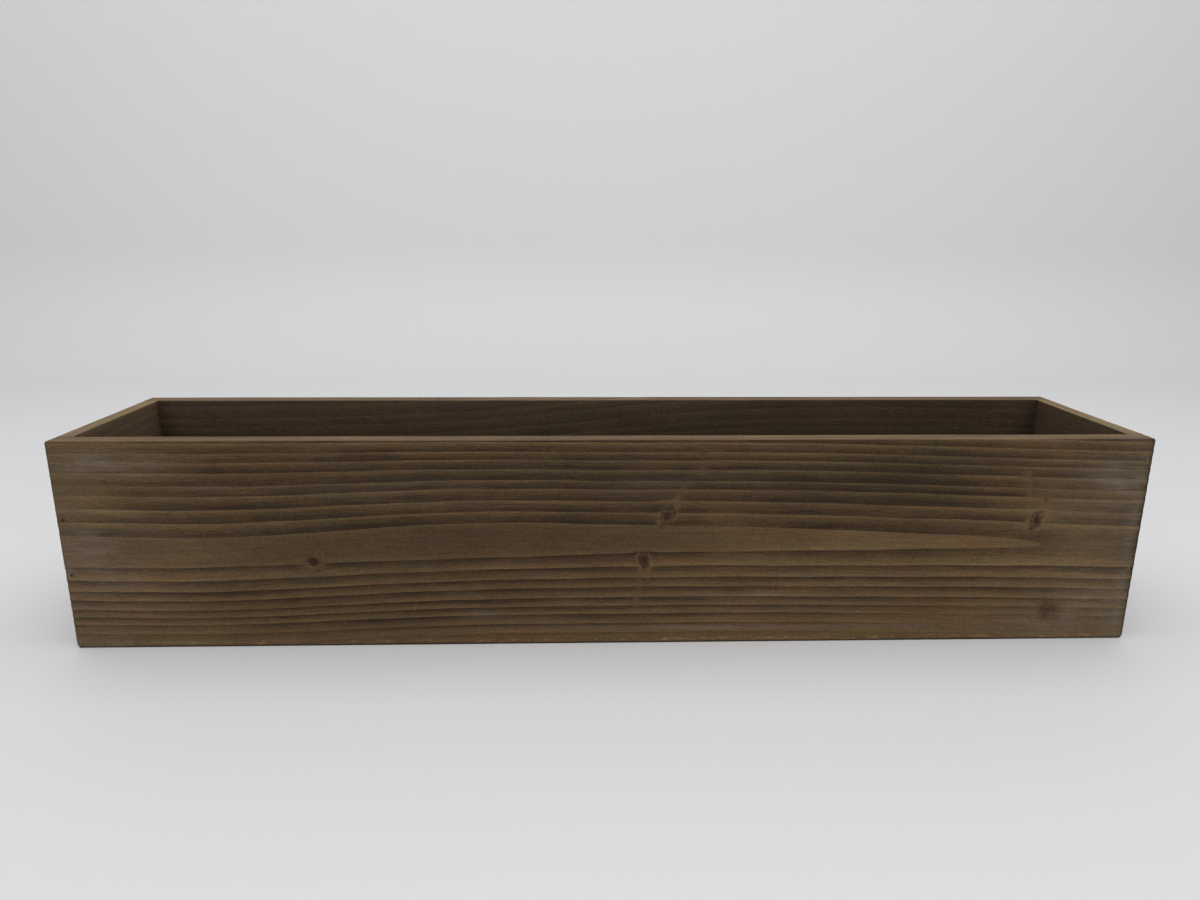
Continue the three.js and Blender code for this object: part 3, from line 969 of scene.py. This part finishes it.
class Fir(Finish):
    """Fir under a thin brown-grey stain. Brushed soft wood drinks more of it than hard.
    tone runs from 0, the palest wood, to 1, the darkest."""

    def __init__(self, name):
        super().__init__(name)
        self.grain = self.vector("grain")
        self.inside = self.value("inside")
        self.rim = self.value("rim")
        self.long_fibres = self.swing(self.grain, (16, 520, 520), 5.0, 0.7)
        self.short_fibres = self.swing(self.grain, (90, 1300, 1300), 4.0, 0.75)
        self.weave = self.swing(self.grain, (420, 950, 950), 3.0, 0.7)
        self.mottle = self.swing(self.grain, (380, 380, 380), 4.0, 0.7)

    def rings(self, brushed):
        """The stained soft wood, the hard ridges, and 1 in the heart of the board. How dark
        each ring's soft wood is, and how far the dark reaches, change along the ring."""
        ring, calm = self.value("ring"), self.value("calm")
        along, across, deep = self.parts(self.grain)
        wisps = self.swing(self.grain, (45, 1100, 1100), 4.0, 0.7)
        number = self.math("FLOOR", ring)
        part = self.clamped(self.math("SUBTRACT", self.plus(ring, (wisps, 0.05)), number))
        heartwood = self.math("LESS_THAN", ring, 1.0)
        keep = self.ease(self.inside, 0, 1, brushed, 0.3)
        keep = self.times(keep, self.without(calm), self.ease(self.rim, 0, 1, 1, 0.3))
        by_ring = self.joined(self.times(along, 9.0), self.times(number, 3.7), deep)
        near_by = self.joined(self.times(along, 38.0), self.times(number, 5.3), deep)
        uptake = self.plus(
            0.86,
            (self.swing(by_ring, (1, 1, 1), 2.0), 0.26),
            (self.swing(near_by, (1, 1, 1), 3.0), 0.1),
            (self.long_fibres, 0.1),
        )
        uptake = self.times(uptake, keep, self.without(heartwood))
        wider = self.swing(by_ring, (1, 1, 1), 3.0, 0.6, (7, 3, 1))
        reach = self.plus(self.ease(across, -0.004, 0.004, 0.82, 1.15), (wider, 0.2))
        soft = self.curve(
            self.clamped(self.math("DIVIDE", part, reach)),
            [(0, 0.75), (0.03, 1), (0.15, 0.92), (0.35, 0.67), (0.55, 0.4), (0.75, 0.13), (1, 0)],
        )
        ridge = self.curve(part, [(0, 0), (0.5, 0), (0.8, 0.4), (0.95, 1), (1, 1)])
        return self.times(soft, uptake), self.times(ridge, keep), heartwood

    def fibred(self, tone, ridge):
        """Fibres, short dark dashes, and painted highlights glinting on the ridges."""
        blotches = self.swing(self.grain, (16, 55, 55), 3.0, 0.55)
        dashes = self.patches(self.grain, (55, 900, 900), (5, 0, 0), 2.0, 0.5, 0.62, 0.72)
        ridge_glints = self.patches(self.grain, (140, 900, 900), (9, 0, 0), 3.0, 0.6, 0.56, 0.7)
        smoother = self.ease(self.inside, 0, 1, 1, 0.3)
        return self.plus(
            tone,
            # Painted highlights: pale broken glints along the ring ridges.
            (self.times(ridge, ridge_glints), -0.13),
            (self.times(self.long_fibres, smoother), 0.055),
            (self.times(self.short_fibres, smoother), 0.075),
            (self.weave, 0.11),
            (blotches, 0.04),
            (dashes, 0.12),
        )

    def knotted(self, tone, smudge):
        """A knot has a dark heart, fine rings and a dark broken rim, and pale wood flows
        round it. Returns the tone, and 1 in the knots."""
        knot = self.value("knot")
        ragged = self.swing(self.grain, (150, 150, 150), 2.0)
        rough = self.plus(knot, (self.mottle, 0.16), (ragged, 0.16))
        in_knot = self.ease(rough, 0.85, 1.2, 1, 0)
        heart = self.ease(rough, 0.1, 0.6, 1, 0)
        bark = self.times(self.ease(rough, 0.65, 0.92), in_knot)
        halo = self.times(self.ease(rough, 1.0, 1.2), self.ease(knot, 1.2, 2.1, 1, 0))
        fine_rings = self.math("SINE", self.times(rough, 15.0))
        tone = self.plus(
            tone,
            (heart, 0.3),
            (bark, 0.2),
            (self.times(fine_rings, in_knot), 0.045),
            (in_knot, 0.14),
            (self.times(self.mottle, in_knot), 0.14),
            (halo, -0.06),
            # smudge darkens knot marks, and paints shade down the rounded upright ends.
            (smudge, 0.5),
        )
        return tone, in_knot

    def weathered_and_shaded(self, tone):
        """Paler arrises, darker end grain, and scuffs. Up-facing rims are paler, partly from wear and
        partly as painted light from above; inner faces and inner corners get painted shade, with some dark
        in the joints themselves; a painted dark line of shade runs along the foot where it stands, scuffed
        pale just above."""
        foot = self.value("foot")
        streaks = self.times(self.rim, self.swing(self.grain, (13, 260, 260), 4.0, 0.6, (0, 6, 2)))
        scuff = self.patches(self.grain, (90, 500, 500), (2, 4, 0), 3.0, 0.65, 0.5, 0.66)
        scuff = self.times(scuff, self.ease(foot, 1.0, 2.0), self.ease(foot, 3.0, 5.0, 1, 0))
        seam = self.times(self.value("seam"), self.plus(0.7, (self.mottle, 0.4)))
        return self.plus(
            tone,
            (self.value("stain"), 0.2),
            (self.value("end_grain"), 0.16),
            # Painted shade: inner faces darker.
            (self.inside, 0.15),
            # Up-facing rims paler: wear, and painted light from above.
            (self.rim, -0.2),
            (streaks, 0.08),
            (self.value("wear"), -0.05),
            # Painted shade: a dark line along the lowest 2 mm, where the foot stands.
            (self.ease(foot, 0.6, 2.0, 1, 0), 0.5),
            (scuff, -0.38),
            # Painted shade in the inner corners, with some dark in the joints themselves.
            (seam, 0.35),
        )

    def coloured(self, tone, in_knot):
        colour = self.tones(self.clamped(tone), [
            (0.0, (0.257, 0.173, 0.076)),
            (0.25, (0.166, 0.106, 0.047)),
            (0.5, (0.1005, 0.0603, 0.0274)),
            (0.75, (0.0557, 0.033, 0.0148)),
            (1.0, (0.0262, 0.0156, 0.0078)),
        ])
        hue = self.plus(
            self.swing(self.grain, (50, 360, 360), 4.0, 0.65, (1, 8, 0)),
            (self.swing(self.grain, (7, 26, 26), 3.0, 0.5, (4, 2, 6)), 0.6),
        )
        haze = self.swing(self.grain, (13, 48, 48), 4.0, 0.6, (2, 9, 4))
        for amount, tint in (
            (self.ease(hue, 0.1, 1.2), (1.08, 0.96, 0.88)),
            (self.ease(hue, -0.1, -1.2), (0.93, 1.02, 0.87)),
            (self.ease(haze, 0.1, 1), (0.98, 1.0, 1.08)),
            (self.inside, (0.97, 1.05, 1.42)),
            (in_knot, (1.05, 0.97, 0.95)),
        ):
            colour = self.blend(amount, colour, self.blend(1.0, colour, tint, "MULTIPLY"))
        return colour

    def dusted_and_glinting(self, colour, smudge):
        """Dry stain left on the outside in pale streaks, thickest towards the ends, with painted highlights
        in thin pale lines along a few ring ridges and painted sheen on the rims.
        """
        dust = self.plus(
            self.noise(self.stretched(self.grain, (38, 420, 420), (3, 1, 0)), 5.0, 0.7),
            (self.noise(self.stretched(self.grain, (60, 90, 90), (3, 9, 0)), 3.0, 0.6), 0.6),
        )
        # On the rims this adds painted sheen as well as dry stain; the spots add painted ridge highlights.
        bloom = self.plus(0.03, (self.value("bloom"), 0.5), (self.value("ends"), 0.12), (self.rim, 0.1))
        bare = self.times(self.without(self.inside), self.ease(smudge, 0, 0.8, 1, 0))
        bloom = self.times(self.ease(dust, 0.65, 1.1, 0.25, 1), bloom, bare)
        return self.blend(self.clamped(bloom), colour, (0.2, 0.178, 0.15))


def stained_fir(name, dark=0.0, brushed=1.0):
    fir = Fir(name)
    smudge = fir.times(fir.value("smudge"), fir.plus(0.9, (fir.mottle, 0.3)))
    soft, ridge, heartwood = fir.rings(brushed)
    tone = fir.plus(0.475 + dark, (soft, 0.4), (ridge, -0.09), (heartwood, 0.07))
    tone = fir.weathered_and_shaded(fir.fibred(tone, ridge))
    tone, in_knot = fir.knotted(tone, smudge)
    roughness = fir.plus(0.6, (soft, 0.2), (fir.long_fibres, 0.04))
    relief = fir.plus(fir.long_fibres, (fir.short_fibres, 0.6), (fir.weave, 0.3))
    inputs = fir.shader.inputs
    fir.feed(inputs["Base Color"], fir.dusted_and_glinting(fir.coloured(tone, in_knot), smudge))
    fir.feed(inputs["Roughness"], fir.clamped(roughness))
    inputs["Specular IOR Level"].default_value = 0.12
    fir.feed(inputs["Normal"], fir.bump(relief, 0.00005, 0.7))
    return fir.material


def dark_steel():
    steel = Finish("dark_steel")
    place = steel.add("ShaderNodeTexCoord").outputs["Object"]
    rust = steel.noise(place, 4.0, scale=900.0)
    colour = steel.tones(rust, [(0.3, (0.05, 0.046, 0.044)), (0.7, (0.12, 0.085, 0.06))])
    steel.feed(steel.shader.inputs["Base Color"], colour)
    steel.shader.inputs["Metallic"].default_value = 0.7
    steel.feed(steel.shader.inputs["Roughness"], steel.ease(rust, 0.3, 0.7, 0.4, 0.7))
    return steel.material


def dried_filler():
    filler = Finish("dried_filler")
    place = filler.add("ShaderNodeTexCoord").outputs["Object"]
    crumbs = filler.noise(place, 4.0, 0.7, 1400.0)
    colour = filler.tones(crumbs, [(0.3, (0.05, 0.036, 0.022)), (0.7, (0.15, 0.12, 0.082))])
    filler.feed(filler.shader.inputs["Base Color"], colour)
    filler.shader.inputs["Roughness"].default_value = 0.85
    filler.feed(filler.shader.inputs["Normal"], filler.bump(crumbs, 0.0001, 0.6))
    return filler.material


# ---------------------------------------------------------------- the pieces

SIDE = {"rim": RIM_EASE, "inner_rim": RIM_EASE, "foot": FOOT_EASE, "rim_length": INNER_LENGTH}
SIDE |= {"upright": UPRIGHT_EASE, "corners": (FOOT_CORNER, TOP_CORNER)}
# End boards' tops pale twice as much: wear, and painted light from above.
END = {"rim": TOP_CORNER, "inner_rim": RIM_EASE, "foot": FOOT_CORNER, "step": 4, "rim_pale": 2.0}
LEFT_END = {**END, "inner_stain": -1.5}
RIGHT_END = {**END, "inner_stain": -0.85}
SIDE_SIZE = (LENGTH, HEIGHT, WALL)
END_SIZE = (INNER_DEPTH - 2 * GLUE, HEIGHT, END_WALL)
FLOOR_SIZE = (FLOOR_LENGTH, FLOOR_DEPTH, FLOOR_THICKNESS)
FLOOR = {"up": (0, 1, 0), "slot": "shaded_fir", "groove": 0.08, "step": 9, "row": 1.0}

BACK_KNOTS = [(-96, 60, 6.5, 5, 12, 3), (214, 108, 3.5, 5, -20, 2)]
BACK_GRAIN = plain_grain(54, 2, 9.5, -12, knots=BACK_KNOTS, stain=[(-300, 110, 200, 150, 0.35)])
LEFT_GRAIN = plain_grain(30, 3, 8.0)
RIGHT_GRAIN = plain_grain(112, 4, 7.0, knots=[(22, 58, 5, 4, 15, 2)])
FLOOR_GRAIN = plain_grain(60, 5, 11.0, 6, knots=[(150, 84, 7, 5, 0, 3)])

X_WAY, Y_WAY, Z_WAY = np.eye(3)

BOARDS = [
    Board("front_board", FRONT_GRAIN, SIDE_SIZE, (0, -DEPTH / 2, 0), X_WAY, Y_WAY, **SIDE),
    Board("back_board", BACK_GRAIN, SIDE_SIZE, (0, DEPTH / 2, 0), -X_WAY, -Y_WAY, **SIDE),
    Board("left_end_board", LEFT_GRAIN, END_SIZE, (-LENGTH / 2, 0, 0), -Y_WAY, X_WAY, **LEFT_END),
    Board("right_end_board", RIGHT_GRAIN, END_SIZE, (LENGTH / 2, 0, 0), Y_WAY, -X_WAY, **RIGHT_END),
    Board("floor_board", FLOOR_GRAIN, FLOOR_SIZE, (0, -FLOOR_DEPTH / 2, FLOOR_TOP), X_WAY, -Z_WAY, **FLOOR),
]


def floor_slab():
    """The room that the floor and its clearance take out of the four walls."""
    half_height = FLOOR_THICKNESS / 2 + GROOVE_CLEARANCE
    along = (INNER_LENGTH / 2 + GROOVE_DEPTH) * np.array((-1, 1))
    across = (INNER_DEPTH / 2 + GROOVE_DEPTH) * np.array((-1, 1))
    up = FLOOR_MIDDLE + half_height * np.array((-1, 1))
    points, quads = grid_box(along, up, across)
    corners = np.stack([along[points[:, 0]], across[points[:, 2]], up[points[:, 1]]], -1)
    return link_mesh("floor_slab", corners * MM, quads.tolist())


def remove(*pieces):
    for piece in pieces:
        bpy.data.objects.remove(piece)


def drain_bores():
    """An upright rod for each drain hole, longer than the floor is thick."""
    radius, reach = DRAIN_DIAMETER / 2, 8
    bore = turned("drain_bore", [(radius, -reach), (radius, reach)], 48)
    upright = Matrix.Rotation(math.pi / 2, 4, "X")
    bore.data.transform(Matrix.Translation((0, 0, FLOOR_MIDDLE * MM)) @ upright)
    return centred_row().apply(bore, None, Count=len(DRAINS), Spacing=DRAIN_SPACING * MM)


def build_boards(finishes):
    brushing, rows = wire_brushing(), corner_rows()
    slab = floor_slab()
    holes = rows.apply(bored_hole(), None)
    drains = drain_bores()
    for board in BOARDS:
        piece = board.blank()
        board.mark(piece)
        finish = finishes[board.slot]
        brushing.apply(piece, finish, **{"Groove Depth": board.groove * MM})
        cut(piece, [drains] if board.node == "floor_board" else [slab, holes], finish)
        board.mark(piece)
        smooth(piece)
        piece.data.set_sharp_from_angle(angle=math.radians(50))
        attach(piece, "root")
        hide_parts(board.node)
    remove(slab, holes, drains)
    return rows


def build_brads(rows, steel):
    brads = rows.apply(brad_blank(), steel)
    smooth(brads)
    brads.data.set_sharp_from_angle(angle=math.radians(40))
    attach(brads, "root")
    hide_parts(*BRADS)


# Punch marks that were filled, seen from outside each long board: end, and which from below.
FILLED_FRONT = ((-1, 0), (-1, 3), (1, 0), (1, 1), (1, 2), (1, 3))
FILLED_BACK = ((-1, 1), (-1, 2), (1, 0), (1, 2), (1, 3))


def build_filler(filler):
    """Dabs of filler, pressed into some of the punch marks."""
    radius = BRAD_HEAD / 2 + 0.2
    lens = ((0.5, -0.1), (0.9, -0.05), (0.9, 0.05), (0.5, 0.1))
    dab = turned("dab_blank", [(share * radius, y) for share, y in lens], 14)
    places = []
    for side, filled in ((-1, FILLED_FRONT), (1, FILLED_BACK)):
        for end, row in filled:
            x = -side * end * (LENGTH / 2 - BRAD_INSET)
            places.append((x * MM, side * DEPTH / 2 * MM, (BRAD_LOWEST + row * BRAD_RISE) * MM))
    dabs = link_mesh("filler_dabs", places, [])
    scattered().apply(dabs, filler)
    remove(dab)
    smooth(dabs)
    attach(dabs, "root")


place_camera()
build_sweep()
light_studio()

FIR = {"brushed_fir": stained_fir("brushed_fir"), "shaded_fir": stained_fir("shaded_fir", 0.06, 0.5)}
ROWS = build_boards(FIR)
build_brads(ROWS, dark_steel())
build_filler(dried_filler())
